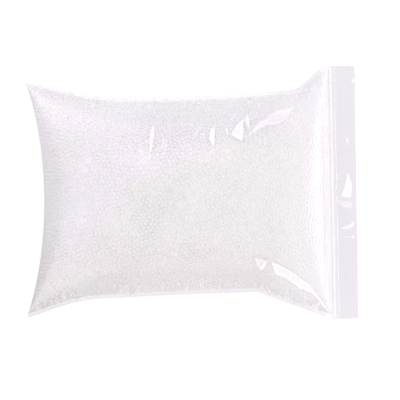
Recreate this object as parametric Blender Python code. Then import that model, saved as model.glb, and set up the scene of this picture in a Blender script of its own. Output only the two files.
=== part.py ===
"""A clear press-seal bag filled tight with polystyrene beads, lying on its belly.

The bag is one sheet of film, folded across its end and welded along both sides. Two closure
strips line its mouth: a rib strip under the upper film and a groove strip over the lower one.
The beads inside are modelled as the one packed mass that they form, whose surface rises over
the beads in crests about three beads apart.

X runs from the fold to the mouth, Y across the bag and Z up. A place on the bag is a station
along it, 0 at the fold and 1 where the closure begins, and a row across it, -1 and 1 at the
seams and 0 midway. Past the closure's start a place is a distance from it, and a row. A face
is 1 for the upper film and -1 for the lower one.
"""

import math
from collections import namedtuple

import bmesh
import bpy
from mathutils import Vector

MM = 0.001

# The flat bag and its film
FLAT_WIDTH = 170 * MM
FILM = 0.1 * MM
FLANGE = 2.6 * MM
SEAM_GAP = 0.15 * MM

# The filled bag from above: its ears, its drawn-in fold and its mouth, both slanting slightly
BODY_LENGTH = 204.5 * MM
EAR_SPREAD = 161.2 * MM
EAR_SHIFT = 4.3 * MM
FOLD_BOW = 12 * MM
FOLD_SKEW = 0.7 * MM
MOUTH_SKEW = 1.7 * MM

# How far a seam is drawn in: past the ear, midway and near the mouth, where it runs out again
Seam = namedtuple("Seam", "ear_run shoulder waist hip run ease")
UPPER_SEAM = Seam(
    ear_run=75 * MM, shoulder=15.5 * MM, waist=1.0 * MM, hip=14.6 * MM, run=24 * MM, ease=1.0
)
LOWER_SEAM = Seam(
    ear_run=56 * MM, shoulder=13.8 * MM, waist=0.4 * MM, hip=18.1 * MM, run=50 * MM, ease=0.0
)

# The filled bag from the side
CROWN = 43 * MM
BELLY = 43 * MM
SAG = 7 * MM
FOLD_RUN = 70 * MM
WEDGE_RUN = 100 * MM
FOLD_BLUNTNESS = 0.72
WEDGE_BLUNTNESS = 0.85
CORNER_FULLNESS = 2.0
EAR_DROOP = 3 * MM
EAR_DROOP_RUN = 40 * MM

# The gathers that both seams draw into the film
GATHER_PITCH = 9.2 * MM
GATHER_HEIGHT = 1.3 * MM
GATHER_REACH = 30 * MM
GATHER_TAPER = 1.5
SEAM_WAVE = 0.7 * MM
CALM_EAR = 0.12
CALM_MOUTH = 0.2

# The two long folds of the upper film. Their ends are measured from the closure's corner on
# that side: how far back along the bag, and how far in from the seam.
Fold = namedtuple("Fold", "side start end height half_width")
FOLDS = (
    Fold(side=1, start=(24 * MM, 26 * MM), end=(72 * MM, 56 * MM), height=2.2 * MM, half_width=6 * MM),
    Fold(side=-1, start=(4 * MM, 6 * MM), end=(51 * MM, 40 * MM), height=2.6 * MM, half_width=7 * MM),
)

# The closure's two strips
CONTACT_GAP = 0.3 * MM
ZIP_CLEARANCE = 0.2 * MM
STRIP_HALF = 1.7 * MM
STRIP_THICKNESS = 0.25 * MM
STRIP_END = 0.7 * MM
NECK_HALF = 0.3 * MM
HEAD_HALF = 0.8 * MM
HEAD_TIP_HALF = 0.4 * MM
HEAD_HEIGHT = 0.5 * MM
JAW_WALL = 0.4 * MM
JAW_LIP = 0.3 * MM
LAND = 0.4 * MM
CRUSH_RUN = 7 * MM
CRUSHED = 0.5

# The lips past the closure, with their grip ridges
LIP_LENGTH = 14.5 * MM
LIP_GAP = 0.8 * MM
STEP = 1.0 * MM
RIDGES = 6
RIDGE_PITCH = 2.1 * MM
RIDGE_HEIGHT = 0.2 * MM
UPPER_END_DROOP = math.radians(6)
LOWER_END_DROOP = math.radians(15)
LIP_WAVE = 0.8 * MM
LIP_HALF_WAVES = 6

# The beads: where their mass ends, and the hollows between its crests, which are shallow where
# the mass is thin
BEAD_MARGIN = 2.0 * MM
FOLD_LAND = 1.2 * MM
BEAD_RELIEF = 1.1 * MM
HOLLOW_LIMIT = 0.1

# How finely the film is divided
HALF_ROWS = 8
END_CROWDING = 0.3
NORMAL_STEP = 0.02
SHARP_ANGLE = math.radians(40)

# Solving a film arc's half angle, and the fullness under which a place counts as edge
FLATTEST = 0.05
FULLEST = 2.5
HALVINGS = 30
EDGE_FULLNESS = 1e-6

HALF_WIDTH = FLAT_WIDTH / 2
LENS_ROW = 1 - FLANGE / HALF_WIDTH
SEAM_HEIGHT = BELLY - SAG
CLOSURE_LENGTH = 2 * (LAND + STRIP_HALF)
CLOSURE_GAP = 2 * (CONTACT_GAP + STRIP_THICKNESS) + JAW_LIP + HEAD_HEIGHT + 3 * ZIP_CLEARANCE
END_LENGTH = CLOSURE_LENGTH + LIP_LENGTH

Finish = namedtuple("Finish", "colour roughness alpha")
FILM_FINISH = Finish(colour=(0.90, 0.89, 0.92, 1), roughness=0.12, alpha=0.3)
STRIP_FINISH = Finish(colour=(0.91, 0.90, 0.93, 1), roughness=0.2, alpha=0.8)
BEAD_FINISH = Finish(colour=(0.87, 0.86, 0.86, 1), roughness=0.7, alpha=1.0)


def mix(first, second, share):
    return first + (second - first) * share


def clamp(share):
    return min(max(share, 0.0), 1.0)


def smooth(share):
    """0 to 1 with a soft start and end."""
    t = clamp(share)
    return t * t * (3 - 2 * t)


def half_angle(chord_share):
    """The half angle of an arc whose chord is this share of its length."""
    low, high = FLATTEST, FULLEST
    for _ in range(HALVINGS):
        middle = (low + high) / 2
        if math.sin(middle) / middle > chord_share:
            low = middle
        else:
            high = middle
    return low


def drawn_in(seam, from_fold):
    """How far a seam is drawn in from the straight line between its ear and its mouth corner."""
    share = clamp((from_fold - seam.ear_run) / (BODY_LENGTH - seam.ear_run - seam.run))
    depth = mix(seam.shoulder, seam.hip, share) + seam.waist * math.sin(math.pi * share)
    rise = math.sin(math.pi / 2 * clamp(from_fold / seam.ear_run))
    fall = clamp((BODY_LENGTH - from_fold) / seam.run)
    return depth * rise * mix(fall, smooth(fall), seam.ease)


def seam_offset(side, from_fold):
    """A seam's distance from the bag's middle line."""
    at_ear = EAR_SPREAD / 2 - side * EAR_SHIFT
    straight = mix(at_ear, HALF_WIDTH, from_fold / BODY_LENGTH)
    return straight - drawn_in(UPPER_SEAM if side > 0 else LOWER_SEAM, from_fold)


def length_share(station):
    """The share of the body's length at a station. Stations crowd where the ends turn down."""
    return station - END_CROWDING * math.sin(2 * math.pi * station) / (2 * math.pi)


def inside_share(row):
    """How far a row lies from the middle to the edge of the filled part."""
    return max(min(row / LENS_ROW, 1.0), -1.0)


def open_start(row):
    """The fold's place along the bag at a row."""
    inside = inside_share(row)
    return FOLD_BOW * (1 - inside**2) + FOLD_SKEW * (1 - inside)


def body_plan(station, row):
    """The body's middle sheet from above, and the half angle of the film's arc there."""
    share = length_share(station)
    from_fold = share * BODY_LENGTH
    upper = seam_offset(1, from_fold)
    lower = seam_offset(-1, from_fold)
    lens = (upper + lower) / 2 - FLANGE
    angle = half_angle(lens / (HALF_WIDTH - FLANGE))
    inside = inside_share(row)
    y = (upper - lower) / 2 + lens * math.sin(angle * inside) / math.sin(angle)
    y += (row - inside * LENS_ROW) * HALF_WIDTH
    return mix(open_start(row), BODY_LENGTH - MOUTH_SKEW * row, share), y, angle


def fullness(station, row, angle):
    """How full the body is at a place, from 0 at its edges to 1 at its crown."""
    share = length_share(station)
    open_length = BODY_LENGTH - open_start(row)
    from_fold = clamp(share * open_length / FOLD_RUN)
    from_mouth = clamp((1 - share) * open_length / WEDGE_RUN)
    lengthwise = (1 - (1 - from_fold) ** 2) ** FOLD_BLUNTNESS
    lengthwise *= (1 - (1 - from_mouth) ** 2) ** WEDGE_BLUNTNESS
    crosswise = math.cos(angle * inside_share(row)) - math.cos(angle)
    crosswise /= 1 - math.cos(angle)
    if min(crosswise, lengthwise) < EDGE_FULLNESS:
        return 0.0
    power = CORNER_FULLNESS
    return (crosswise**-power + lengthwise**-power - 1) ** (-1 / power)


def crush(row):
    """The share of its full thickness that the closure keeps, as the side welds flatten it."""
    return mix(CRUSHED, 1.0, smooth((1 - abs(row)) * HALF_WIDTH / CRUSH_RUN))


def body_point(station, row, face):
    """A point on the inner side of the body's film, smooth and without gathers."""
    x, y, angle = body_plan(station, row)
    closing = smooth(length_share(station))
    half_gap = mix(SEAM_GAP, CLOSURE_GAP / 2 * crush(row), closing)
    depth = CROWN if face > 0 else BELLY
    droop = EAR_DROOP * clamp(1 - x / EAR_DROOP_RUN) ** 2 * row * row
    return Vector((x, y, SEAM_HEIGHT - droop + face * (half_gap + depth * fullness(station, row, angle))))


def end_point(distance, row, height):
    """A point of the closure or the lips, by its distance and its height from the middle sheet.

    The closure lies level. Past it the lips droop, by an angle that differs along the mouth.
    """
    past = max(distance - CLOSURE_LENGTH, 0.0)
    droop = mix(LOWER_END_DROOP, UPPER_END_DROOP, (row + 1) / 2) if past > 0 else 0.0
    wave = LIP_WAVE * math.sin(LIP_HALF_WAVES * math.pi / 2 * row) * past / LIP_LENGTH
    height *= crush(row)
    x = BODY_LENGTH - MOUTH_SKEW * row + distance - past
    x += past * math.cos(droop) + height * math.sin(droop)
    z = SEAM_HEIGHT + wave - past * math.sin(droop) + height * math.cos(droop)
    return Vector((x, row * HALF_WIDTH, z))


def film_gap(distance):
    """The space between the films at a distance past the closure's start."""
    return mix(CLOSURE_GAP, LIP_GAP, clamp((distance - CLOSURE_LENGTH) / STEP))


def ridge(distance):
    """How far a grip ridge lifts the film: the lips rise and fall evenly over their ridges."""
    count = (distance - ridge_start()) / RIDGE_PITCH
    if not 0 <= count <= RIDGES:
        return 0.0
    return RIDGE_HEIGHT * (1 - abs(2 * (count % 1) - 1))


def ridge_start():
    """The ridges end at the mouth's edge."""
    return END_LENGTH - RIDGES * RIDGE_PITCH


def outward(station, row, face):
    """The outward normal of the body's film, from neighbouring points."""
    behind = max(station - NORMAL_STEP, 0.0)
    ahead = min(station + NORMAL_STEP, 1.0)
    below = max(row - NORMAL_STEP, -1.0)
    above = min(row + NORMAL_STEP, 1.0)
    lengthwise = body_point(ahead, row, face) - body_point(behind, row, face)
    crosswise = body_point(station, above, face) - body_point(station, below, face)
    return (lengthwise.cross(crosswise) * face).normalized()


def calm_ends(station):
    """The share of their full height that the gathers keep: they die out at the bag's ends."""
    return smooth(station / CALM_EAR) * smooth((1 - station) / CALM_MOUTH)


def gather(number, station, row):
    """How far a gather lifts the film: every other station is a ridge, no two alike."""
    if number % 2 == 0:
        return 0.0
    unevenness = 0.6 + 0.25 * math.sin(1.9 * number) + 0.15 * math.sin(4.3 * number + 1)
    from_seam = max(LENS_ROW - abs(row), 0.0) * HALF_WIDTH
    reach = clamp(1 - from_seam / (GATHER_REACH * unevenness))
    in_flange = clamp((1 - abs(row)) * HALF_WIDTH / FLANGE)
    return GATHER_HEIGHT * unevenness * reach**GATHER_TAPER * in_flange * calm_ends(station)


def seam_wave(number, station, row):
    """How far the welded edge lies above or below the middle sheet between two gathers."""
    in_flange = clamp((abs(row) - LENS_ROW) / (1 - LENS_ROW))
    return SEAM_WAVE * (1 if number % 2 else -1) * in_flange * calm_ends(station)


def fold_lift(point):
    """How far the long folds lift the upper film at a point of the smooth one."""
    lift = 0.0
    for fold in FOLDS:
        corner = Vector((BODY_LENGTH, fold.side * HALF_WIDTH))
        inward = Vector((-1, -fold.side))
        start = corner + Vector(fold.start) * inward
        line = corner + Vector(fold.end) * inward - start
        place = point.xy - start
        share = place.dot(line) / line.length_squared
        if 0 < share < 1:
            aside = abs(line.normalized().cross(place)) / fold.half_width
            lift += fold.height * clamp(1 - aside) * math.sin(math.pi * share) ** 0.5
    return lift


def body_stations():
    """Stations half a gather apart."""
    count = 2 * round(BODY_LENGTH / GATHER_PITCH)
    return [number / count for number in range(count + 1)]


def fold_land():
    """The station where the beads begin."""
    return FOLD_LAND / BODY_LENGTH / (1 - END_CROWDING)


def filled_rows():
    """Rows from the middle to the edge of the beads."""
    rows = [LENS_ROW * number / HALF_ROWS for number in range(HALF_ROWS)]
    return rows + [LENS_ROW - BEAD_MARGIN / HALF_WIDTH]


def both_sides(half):
    """Rows on both sides of the middle, from those on one side."""
    return [-row for row in reversed(half[1:])] + half


def film_body_point(number, station, row, face):
    """A point on the outer side of the body's film. The belly lies flat on the ground."""
    point = body_point(station, row, face)
    lift = gather(number, station, row)
    if face > 0:
        lift = max(lift, fold_lift(point))
    point += outward(station, row, face) * (FILM + lift)
    point.z = max(point.z + seam_wave(number, station, row), 0.0)
    return point


def film_end_point(distance, row, face):
    """A point on the outer side of the closure's or the lips' film."""
    return end_point(distance, row, face * (film_gap(distance) / 2 + FILM + ridge(distance)))


def panel(bm, columns, rows, place):
    """A grid whose vertices are moved to their places. Returns its rim and its last column.

    Its squares are all cut along the same diagonal, so that one panel lies evenly in another.
    """
    made = bmesh.ops.create_grid(bm, x_segments=len(columns) - 1, y_segments=len(rows) - 1, size=0.5)
    last_column = []
    for vertex in made["verts"]:
        column = round((vertex.co.x + 0.5) * (len(columns) - 1))
        row = round((vertex.co.y + 0.5) * (len(rows) - 1))
        vertex.co = place(columns[column], rows[row])
        if column == len(columns) - 1:
            last_column.append(vertex)
    faces = list({face for vertex in made["verts"] for face in vertex.link_faces})
    bmesh.ops.triangulate(bm, faces=faces, quad_method="FIXED")
    edges = {edge for vertex in made["verts"] for edge in vertex.link_edges}
    return [edge for edge in edges if edge.is_boundary], last_column


def add_object(name, bm, finish, seat):
    """A mesh object with its own material, on the bag's seat."""
    bmesh.ops.recalc_face_normals(bm, faces=bm.faces)
    mesh = bpy.data.meshes.new(name)
    bm.to_mesh(mesh)
    bm.free()
    mesh.shade_smooth()
    mesh.set_sharp_from_angle(angle=SHARP_ANGLE)
    material = bpy.data.materials.new(name)
    material.use_nodes = True
    shader = material.node_tree.nodes["Principled BSDF"]
    shader.inputs["Base Color"].default_value = finish.colour
    shader.inputs["Roughness"].default_value = finish.roughness
    shader.inputs["Metallic"].default_value = 0.0
    shader.inputs["Alpha"].default_value = finish.alpha
    mesh.materials.append(material)
    made = bpy.data.objects.new(name, mesh)
    made.parent = seat
    bpy.context.collection.objects.link(made)
    return made


def film_columns():
    """The film's columns, each as the function that places it, from the fold to the lip."""
    numbered = [(0, 0.0), (0, fold_land())] + list(enumerate(body_stations()))[1:-1]
    columns = [lambda row, face, spot=spot: film_body_point(*spot, row, face) for spot in numbered]
    distances = [0.0, CLOSURE_LENGTH, CLOSURE_LENGTH + STEP]
    distances += [ridge_start() + number * RIDGE_PITCH / 2 for number in range(2 * RIDGES + 1)]
    columns += [lambda row, face, far=far: film_end_point(far, row, face) for far in distances]
    return columns


def build_film(seat):
    """Both panels of the film, joined at the fold and the seams and open at the mouth."""
    rows = both_sides(filled_rows() + [LENS_ROW, 1.0])
    columns = film_columns()
    bm = bmesh.new()
    rims = []
    mouth = set()
    for face in (1, -1):
        rim, lip = panel(bm, columns, rows, lambda column, row, face=face: column(row, face))
        rims += rim
        mouth.update(lip)
    walls = bmesh.ops.bridge_loops(bm, edges=rims)["faces"]
    mouth_walls = [wall for wall in walls if mouth.issuperset(wall.verts)]
    bmesh.ops.delete(bm, geom=mouth_walls, context="FACES_ONLY")
    film = add_object("bag_film", bm, FILM_FINISH, seat)
    wall = film.modifiers.new("film", "SOLIDIFY")
    wall.thickness = FILM
    wall.offset = -1
    wall.use_even_offset = False
    return film


def fill_limit(station, row, face):
    """A point of the beads' outer limit, a contact gap in from the smooth film."""
    point = body_point(station, row, face) - outward(station, row, face) * CONTACT_GAP
    point.z = max(point.z, FILM + CONTACT_GAP)
    return point


def is_crest(column_number, row_number):
    """Whether the beads rise to a crest here: in every other column, and staggered like them."""
    return column_number % 2 == 1 and (column_number // 2 + row_number) % 2 == 1


def hollow_depth(station, row):
    """How far the beads sink between their crests."""
    thickness = body_point(station, row, 1).z - body_point(station, row, -1).z
    return min(BEAD_RELIEF, HOLLOW_LIMIT * thickness)


def fill_point(column, row, face):
    """A point of the packed beads, from a numbered station and a numbered pair of the film's rows.

    It lies midway between the pair, because the film runs straight from one row to the next.
    """
    column_number, station = column
    row_number, (near, far) = row
    point = (fill_limit(station, near, face) + fill_limit(station, far, face)) / 2
    if not is_crest(column_number, row_number):
        middle = (near + far) / 2
        point -= outward(station, middle, face) * hollow_depth(station, middle)
    return point


def fill_rows():
    """Pairs of the film's rows: each row with itself, and with the next one."""
    rows = both_sides(filled_rows())
    pairs = [(rows[0], rows[0])]
    for near, far in zip(rows, rows[1:]):
        pairs += [(near, far), (far, far)]
    return pairs


def build_fill(seat):
    """The packed beads, from the fold to the closure and out to where the films meet."""
    columns = list(enumerate([fold_land()] + body_stations()[1:-1]))
    rows = list(enumerate(fill_rows()))
    bm = bmesh.new()
    rims = []
    for face in (1, -1):
        rims += panel(bm, columns, rows, lambda column, row, face=face: fill_point(column, row, face))[0]
    bmesh.ops.bridge_loops(bm, edges=rims)
    return add_object("bead_fill", bm, BEAD_FINISH, seat)


def build_strip(name, half_section, seat):
    """A strip along the closure, from the half of its section that lies towards the mouth."""
    section = half_section + [(-across, height) for across, height in reversed(half_section)]
    last = 1 - STRIP_END / HALF_WIDTH
    inner = LENS_ROW * (HALF_ROWS - 1) / HALF_ROWS
    rows = [-last, -LENS_ROW, -inner, inner, LENS_ROW, last]
    bm = bmesh.new()
    loop = [bm.verts.new() for _ in section]
    edges = [bm.edges.new((loop[number - 1], loop[number])) for number in range(len(loop))]
    for row in rows:
        for vertex, (across, height) in zip(loop, section):
            vertex.co = end_point(CLOSURE_LENGTH / 2 + across, row, height)
        if row < last:
            grown = bmesh.ops.extrude_edge_only(bm, edges=edges)["geom"]
            edges = [item for item in grown if isinstance(item, bmesh.types.BMEdge)]
            loop = [opposite(vertex, grown) for vertex in loop]
    bmesh.ops.holes_fill(bm, edges=bm.edges)
    return add_object(name, bm, STRIP_FINISH, seat)


def opposite(vertex, grown):
    """The vertex that an extrusion has just grown out of this one."""
    return next(edge.other_vert(vertex) for edge in vertex.link_edges if edge.other_vert(vertex) in grown)


def build_closure(seat):
    """The rib strip, whose arrow-shaped rib sits in the jaws of the groove strip."""
    rib_top = CLOSURE_GAP / 2 - CONTACT_GAP
    rib_under = rib_top - STRIP_THICKNESS
    jaw_top = rib_under - ZIP_CLEARANCE
    jaw_under = jaw_top - JAW_LIP
    head_top = jaw_under - ZIP_CLEARANCE
    head_tip = head_top - HEAD_HEIGHT
    floor = head_tip - ZIP_CLEARANCE
    rib = [
        (STRIP_HALF, rib_top),
        (STRIP_HALF, rib_under),
        (NECK_HALF, rib_under),
        (NECK_HALF, head_top),
        (HEAD_HALF, head_top),
        (HEAD_TIP_HALF, head_tip),
    ]
    jaw = HEAD_HALF + ZIP_CLEARANCE
    groove = [
        (STRIP_HALF, floor - STRIP_THICKNESS),
        (STRIP_HALF, floor),
        (jaw + JAW_WALL, floor),
        (jaw + JAW_WALL, jaw_top),
        (NECK_HALF + ZIP_CLEARANCE, jaw_top),
        (NECK_HALF + ZIP_CLEARANCE, jaw_under),
        (jaw, jaw_under),
        (jaw, floor),
    ]
    build_strip("zip_rib_strip", rib, seat)
    build_strip("zip_groove_strip", groove, seat)


def centre_on(film, seat):
    """Moves the seat so that the bag's box stands centred on the origin."""
    places = [vertex.co for vertex in film.data.vertices]
    for axis in (0, 1):
        values = [place[axis] for place in places]
        seat.location[axis] = -(min(values) + max(values)) / 2


def main():
    for old in list(bpy.data.objects):
        bpy.data.objects.remove(old)
    seat = bpy.data.objects.new("seat", None)
    bpy.context.collection.objects.link(seat)
    film = build_film(seat)
    build_fill(seat)
    build_closure(seat)
    centre_on(film, seat)


main()
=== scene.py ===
"""The looks of a clear press-seal bag packed tight with white polystyrene beads.

The film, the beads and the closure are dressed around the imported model's frame. Places on the
bag are given as in the model's own source: a station along it, 0 at the fold and 1 where the
closure begins, and a row across it, -1 and 1 at the seams. A face is 1 for the upper film and
-1 for the lower one.
"""

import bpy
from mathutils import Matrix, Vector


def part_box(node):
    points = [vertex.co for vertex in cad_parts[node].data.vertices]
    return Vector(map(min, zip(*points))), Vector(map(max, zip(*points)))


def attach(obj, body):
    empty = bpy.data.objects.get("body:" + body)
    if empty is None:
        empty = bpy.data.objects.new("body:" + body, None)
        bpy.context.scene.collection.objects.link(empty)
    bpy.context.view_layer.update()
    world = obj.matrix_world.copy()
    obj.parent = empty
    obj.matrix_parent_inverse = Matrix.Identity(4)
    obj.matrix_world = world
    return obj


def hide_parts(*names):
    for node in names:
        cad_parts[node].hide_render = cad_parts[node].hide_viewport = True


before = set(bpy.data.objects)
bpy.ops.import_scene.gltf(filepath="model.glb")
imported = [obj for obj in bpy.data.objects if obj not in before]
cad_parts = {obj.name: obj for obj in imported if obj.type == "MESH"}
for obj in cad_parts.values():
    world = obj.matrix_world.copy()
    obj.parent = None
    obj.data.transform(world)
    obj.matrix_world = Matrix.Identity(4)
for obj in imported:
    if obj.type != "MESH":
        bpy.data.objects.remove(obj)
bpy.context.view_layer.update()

import math
from collections import namedtuple

import bmesh
import bpy
import numpy as np
from mathutils import Matrix, Vector
from mathutils.bvhtree import BVHTree
from mathutils.kdtree import KDTree

MM = 0.001

# The bag's form, as the model has it
FLAT_WIDTH = 170 * MM
FILM = 0.1 * MM
FLANGE = 2.6 * MM
SEAM_GAP = 0.15 * MM
BODY_LENGTH = 204.5 * MM
EAR_SPREAD = 161.2 * MM
EAR_SHIFT = 4.3 * MM
FOLD_BOW = 12 * MM
FOLD_SKEW = 0.7 * MM
MOUTH_SKEW = 1.7 * MM
Seam = namedtuple("Seam", "ear_run shoulder waist hip run ease")
UPPER_SEAM = Seam(
    ear_run=75 * MM, shoulder=15.5 * MM, waist=1.0 * MM, hip=14.6 * MM, run=24 * MM, ease=1.0
)
LOWER_SEAM = Seam(
    ear_run=56 * MM, shoulder=13.8 * MM, waist=0.4 * MM, hip=18.1 * MM, run=50 * MM, ease=0.0
)
CROWN = 43 * MM
BELLY = 43 * MM
SAG = 7 * MM
FOLD_RUN = 70 * MM
WEDGE_RUN = 100 * MM
FOLD_BLUNTNESS = 0.72
WEDGE_BLUNTNESS = 0.85
CORNER_FULLNESS = 2.0
EAR_DROOP = 3 * MM
EAR_DROOP_RUN = 40 * MM
END_CROWDING = 0.3
CRUSH_RUN = 7 * MM
CRUSHED = 0.5
NEARLY_FLAT = 1e-6
ANGLE_LIMITS = (0.05, 2.5)
ANGLE_ROUNDS = 30

# The closure and the lips past it
CLOSURE_LENGTH = 4.2 * MM
CLOSURE_GAP = 2.5 * MM
LIP_LENGTH = 14.5 * MM
LIP_GAP = 0.8 * MM
STEP = 1.0 * MM
RIDGES = 6
RIDGE_PITCH = 2.1 * MM
RIDGE_HEIGHT = 0.07 * MM
LIP_TINT = 0.5
UPPER_END_DROOP = math.radians(6)
LOWER_END_DROOP = math.radians(15)
LIP_WAVE = 0.8 * MM
LIP_HALF_WAVES = 6

# How finely the film is divided
BODY_COLUMNS = 330
LIP_COLUMNS = 60
FILM_ROWS = 214
FLANGE_ROWS = 4
FLANGE_DROOP = math.radians(40)
SIDE_CROWDING = 0.82
NORMAL_STEP = 0.004
WELD_RUN = 0.5 * MM

# The gathers along both seams: fine ones beside the weld, and broad ones that reach further in
GATHER_SEED = 5
GatherKind = namedtuple("GatherKind", "pitch reach height half_width slant")
FINE_GATHERS = GatherKind(
    pitch=(1.6 * MM, 3.8 * MM),
    reach=(5 * MM, 17 * MM),
    height=(0.06 * MM, 0.25 * MM),
    half_width=(0.8 * MM, 1.5 * MM),
    slant=0.25,
)
BROAD_GATHERS = GatherKind(
    pitch=(5 * MM, 11 * MM),
    reach=(12 * MM, 30 * MM),
    height=(0.2 * MM, 0.7 * MM),
    half_width=(1.3 * MM, 3.0 * MM),
    slant=0.35,
)
GATHER_SHARPNESS = 1.3
GATHER_TAPER = 1.2
TAUT_LIFT = 1.0 * MM
SEAM_WAVE = 0.9 * MM
SEAM_WAVE_LENGTHS = (7.1 * MM, 9.3 * MM, 12.9 * MM, 17.3 * MM)
SEAM_WAVE_REACH = 6 * MM
CALM_EAR = 0.08
CALM_MOUTH = 0.06

# The two long folds of the upper film, measured as the model's own are: from the closure's
# corner on that side, how far back along the bag and how far in from the seam
Fold = namedtuple("Fold", "side start end height half_width")
FOLDS = (
    Fold(side=1, start=(24 * MM, 26 * MM), end=(72 * MM, 56 * MM), height=1.6 * MM, half_width=6 * MM),
    Fold(side=-1, start=(4 * MM, 6 * MM), end=(51 * MM, 40 * MM), height=2.0 * MM, half_width=7 * MM),
)

# Facets: taut patches of the upper film, each with a painted highlight in place of the light that it
# would catch. Each lies between two edges that share their ends, and its painted highlight is
# brightest along its crisp edge. Corners are millimetres from the middle of the bag's box.
Facet = namedtuple("Facet", "crisp soft glint")
CRESCENT = Facet(
    crisp=((16.3, 44.8), (14.4, 42.2), (14.7, 37.1), (14.1, 29.0)),
    soft=((16.3, 44.8), (12.7, 41.2), (11.2, 37.1), (11.3, 33.8), (14.1, 29.0)),
    glint=0.9,
)
TALL_PATCH = Facet(
    crisp=((34.1, 47.8), (33.1, 43.9), (33.4, 40.5), (33.2, 36.5), (32.1, 33.1)),
    soft=((34.1, 47.8), (29.4, 44.6), (26.9, 40.8), (25.1, 37.4), (28.9, 34.7), (32.1, 33.1)),
    glint=0.8,
)
SLIM_PATCH = Facet(
    crisp=((36.5, 51.0), (37.3, 47.3), (37.3, 43.3), (37.1, 40.5)),
    soft=((36.5, 51.0), (34.5, 48.0), (35.0, 44.6), (37.1, 40.5)),
    glint=0.7,
)
LONG_PATCH = Facet(
    crisp=(
        (33.8, 34.4), (37.8, 37.3), (42.1, 40.0), (47.8, 43.7), (55.5, 44.5), (59.9, 46.7),
        (62.7, 49.4), (67.9, 56.6),
    ),
    soft=(
        (33.8, 34.4), (37.8, 38.5), (41.5, 42.7), (44.6, 46.4), (47.7, 47.5), (51.0, 51.3),
        (56.1, 54.1), (63.5, 54.9), (67.9, 56.6),
    ),
    glint=0.5,
)
TRIANGLE = Facet(
    crisp=((40.5, -42.2), (42.9, -47.7), (45.3, -51.9)),
    soft=((40.5, -42.2), (49.1, -45.0), (45.3, -51.9)),
    glint=0.55,
)
CORNER_BAND = Facet(
    crisp=(
        (51.8, -45.7), (56.8, -47.6), (62.5, -50.4), (70.0, -56.0), (76.9, -60.7), (81.2, -65.5),
        (85.2, -71.1), (94.6, -84.0),
    ),
    soft=(
        (51.8, -45.7), (54.4, -53.9), (61.9, -56.7), (71.0, -63.7), (77.5, -66.2), (82.3, -69.5),
        (86.3, -74.9), (94.6, -84.0),
    ),
    glint=0.7,
)

# Slim facets, each a lens between its two ends that carries a painted highlight. Edge is 1 where its
# crisp edge is the left one, seen from its start, and -1 where it is the right one. Its base is its
# half width at the start as a share of the greatest.
Lens = namedtuple("Lens", "start end half_width edge glint base", defaults=(0.04,))
LENSES = (
    Lens((-25.2, 43.4), (-26.6, 25.8), 1.5, -1, 0.7),
    Lens((-18.8, 34.6), (-17.8, 25.1), 1.9, 1, 0.35),
    Lens((-12.4, 40.2), (-13.6, 35.2), 0.8, 1, 0.3),
    Lens((6.2, 44.0), (0.0, 33.2), 1.0, 1, 0.3),
    Lens((7.8, 38.6), (7.1, 33.2), 1.2, 1, 0.3),
    Lens((22.2, 41.8), (23.4, 37.4), 0.7, -1, 0.7),
    Lens((48.5, -45.0), (45.5, -51.4), 0.7, 1, 0.9),
    Lens((43.5, -30.2), (44.3, -31.2), 0.6, 1, 0.9),
    Lens((-11.0, -39.0), (-10.4, -42.0), 0.6, 1, 0.8),
)

# Crumples of the lips, drawn only as facets with painted highlights
LIP_TRIANGLE = Facet(
    crisp=((104.8, 13.6), (106.5, 8.3), (107.5, 4.2), (106.9, -3.0), (103.2, -3.4)),
    soft=((104.8, 13.6), (103.3, 8.3), (102.2, 2.9), (99.5, -2.4), (103.2, -3.4)),
    glint=0.6,
)
LIP_PANE = Facet(
    crisp=((97.0, -5.9), (107.5, -6.2), (107.5, -10.9)),
    soft=((97.0, -5.9), (101.4, -10.2), (107.5, -10.9)),
    glint=0.28,
)
LIP_BAND = Facet(
    crisp=((99.7, -24.4), (103.4, -24.9), (106.1, -24.0), (108.8, -23.0), (109.0, -20.5)),
    soft=((99.7, -24.4), (102.8, -22.7), (106.1, -21.8), (108.5, -19.1), (109.0, -20.5)),
    glint=0.5,
)
LIP_LENSES = (
    Lens((98.6, 11.3), (97.0, 8.3), 0.7, 1, 0.35),
    Lens((103.7, 37.2), (104.8, 31.8), 0.7, 1, 0.45),
    Lens((107.8, 76.5), (108.1, 73.2), 0.7, 1, 0.6),
    Lens((99.4, -30.1), (108.8, -30.1), 0.5, 1, 0.25),
    Lens((108.3, -29.0), (108.3, -30.8), 0.6, 1, 0.8),
)
LENS_CORNERS = 9
LENS_BLUNTNESS = 0.6
FACET_COLUMNS = 34
FACET_ROWS = 12
FACET_RISE = 0.12 * MM
FACET_BORDER = 0.1
CRISP_BAND = 0.28
SOFT_SIDE_HIGHLIGHT = 0.72
TAUT_RUN = (1.17 * MM, 0.27 * MM)

# Streaks: small facets with painted highlights where the film crinkles beside its seams, bright beside
# the upper one
Streaks = namedtuple("Streaks", "seed side count reach length half_width turn glint base")
STREAKS = (
    Streaks(3, 1, 150, (0.5, 8.0), (1.2, 4.0), (0.22, 0.5), 0.9, (0.15, 0.6), 0.1),
    Streaks(8, 1, 60, (6.0, 22.0), (3.0, 9.0), (0.3, 0.8), 0.5, (0.06, 0.3), 0.1),
    Streaks(6, -1, 42, (2.2, 3.4), (2.5, 9.0), (0.6, 1.9), 0.35, (0.15, 0.45), 1.0),
    Streaks(9, -1, 50, (2.4, 9.0), (1.5, 4.5), (0.25, 0.5), 0.6, (0.2, 0.6), 0.1),
)
STREAK_RUN = (0.03, 0.96)
STREAK_COLUMNS = 6
STREAK_ROWS = 4
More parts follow.
